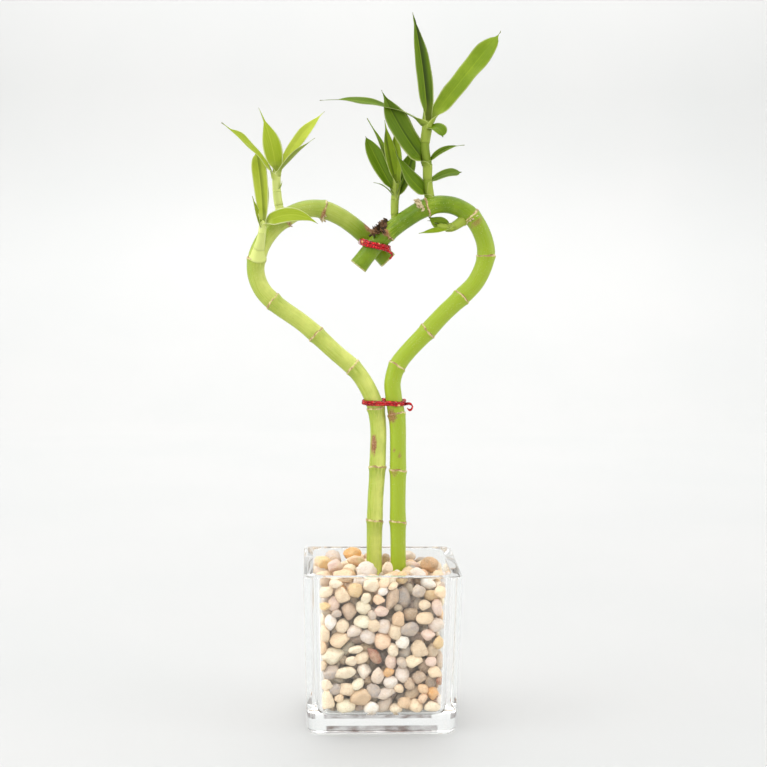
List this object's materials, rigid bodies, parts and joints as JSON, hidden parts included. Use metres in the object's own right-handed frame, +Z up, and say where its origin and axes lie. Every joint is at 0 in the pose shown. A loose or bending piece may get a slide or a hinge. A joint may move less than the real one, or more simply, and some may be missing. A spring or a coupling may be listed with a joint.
{
  "type": "potted plant",
  "caption": "Lucky bamboo: two green stalks trained into a heart, tied with red foil wire, in a square clear glass vase of pebbles.",
  "frame": {"origin": "centre of the vase's flat underside, on the surface that it stands on", "axes": "+Z up, +X to the right in the front view with the heart facing the viewer, +Y to the back"},
  "size_m": [0.1815, 0.102, 0.4646],
  "materials": {
    "clear_glass": "clear, polished",
    "pebble_mix": "matt, worn smooth",
    "pebble_pale": "matt, worn smooth",
    "pebble_warm": "matt, worn smooth",
    "pebble_dark": "matt, worn smooth",
    "stalk_lime": "smooth, waxy",
    "stalk_green": "smooth, waxy",
    "leaf_lime": "satin",
    "leaf_green": "satin",
    "red_foil": "glossy, crinkled"
  },
  "bodies": {
    "root": {"vase": "clear_glass", "pebble_bed": "pebble_mix", "pebble_white": "pebble_pale", "pebble_orange": "pebble_warm", "pebble_pink": "pebble_pale", "pebble_brown": "pebble_dark", "pebble_cream": "pebble_pale", "pebble_grey": "pebble_dark", "pebble_chalk": "pebble_pale", "pebble_ochre": "pebble_warm", "pebble_sand": "pebble_mix", "pebble_peach": "pebble_warm", "pebble_pearl": "pebble_pale", "pebble_honey": "pebble_warm", "stalk_left": "stalk_lime", "stalk_right": "stalk_green", "shoot_left_outer": "leaf_lime", "shoot_left_inner": "leaf_lime", "shoot_middle": "leaf_green", "shoot_right": "leaf_green", "shoot_under_arch": "leaf_green", "tie_upper": "red_foil", "tie_lower": "red_foil"}
  },
  "joints": []
}
